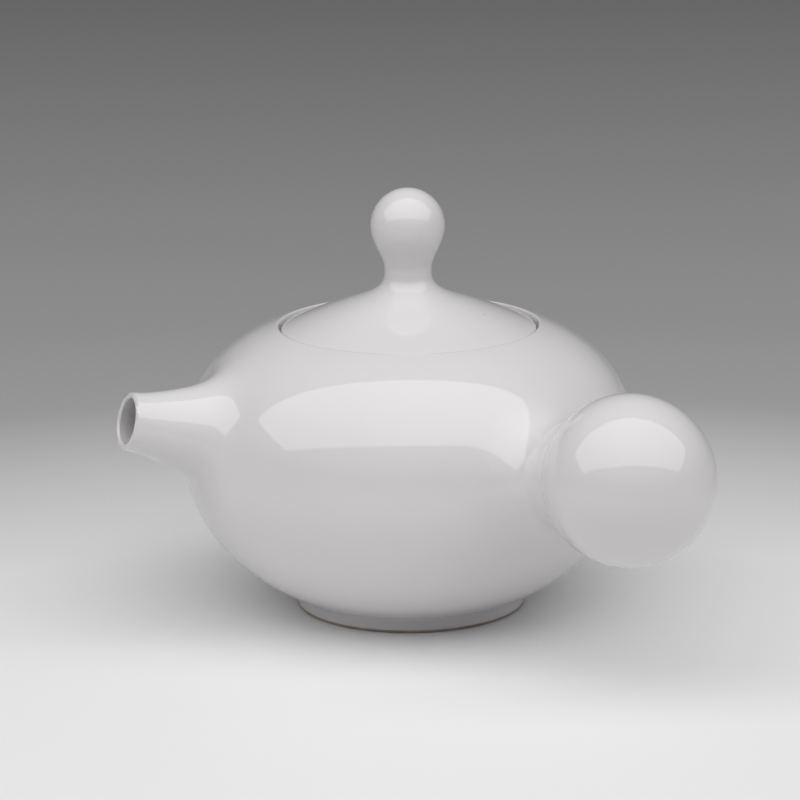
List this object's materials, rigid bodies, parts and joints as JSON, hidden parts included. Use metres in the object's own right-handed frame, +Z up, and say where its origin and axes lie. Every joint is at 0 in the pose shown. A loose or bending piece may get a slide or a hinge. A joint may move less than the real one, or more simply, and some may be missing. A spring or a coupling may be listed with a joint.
{
  "type": "side-handled teapot",
  "caption": "Low round white porcelain teapot with a short flared spout, a ball-ended side handle and a drop-in domed lid with a ball knob.",
  "frame": {"origin": "middle of the bounding box in X and Y, at the foot ring's resting plane", "axes": "+Z up along the pot's axis; the spout points along -X; the handle points mainly along -Y, swung about 14 degrees towards +X"},
  "size_m": [0.1522, 0.185, 0.122],
  "materials": {
    "glazed_porcelain": "very glossy clear glaze over white porcelain",
    "bare_porcelain": "unglazed, slightly brownish fired porcelain"
  },
  "bodies": {
    "pot": {"pot_body": "glazed_porcelain", "foot_ring": "bare_porcelain", "spout": "glazed_porcelain", "strainer": "glazed_porcelain", "handle_neck": "glazed_porcelain", "handle_ball": "glazed_porcelain"},
    "lid": {"lid_cover": "glazed_porcelain", "lid_flange": "glazed_porcelain", "lid_knob": "glazed_porcelain"}
  },
  "joints": [
    {"name": "lid_lift", "type": "slide", "parent": "pot", "child": "lid", "axis": [0, 0, 1], "range_m": [0, 0.06]}
  ]
}
